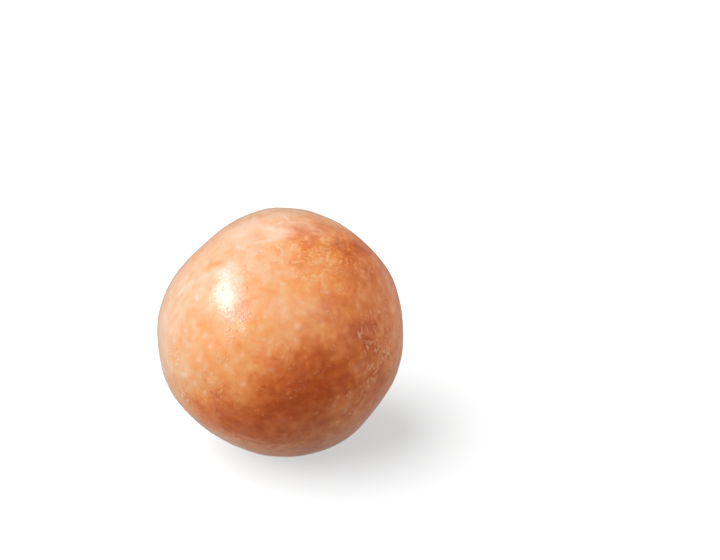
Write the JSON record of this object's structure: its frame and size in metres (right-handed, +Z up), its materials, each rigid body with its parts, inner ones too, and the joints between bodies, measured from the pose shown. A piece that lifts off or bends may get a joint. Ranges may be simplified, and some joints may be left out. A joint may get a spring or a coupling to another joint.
{
  "type": "doughnut hole",
  "caption": "Round bite-sized ball of fried dough with a smooth, hard sugar glaze, resting on a small flat spot.",
  "frame": {"origin": "on the table under the middle of the ball, at the centre of its box", "axes": "+Z up; +Y away from the viewer; +X to the viewer's right"},
  "size_m": [0.0378, 0.0376, 0.0373],
  "materials": {
    "glazed_crust": "glazed fried dough, golden brown, under a thin milky coat of set sugar glaze"
  },
  "bodies": {
    "root": {"doughnut_ball": "glazed_crust"}
  },
  "joints": []
}
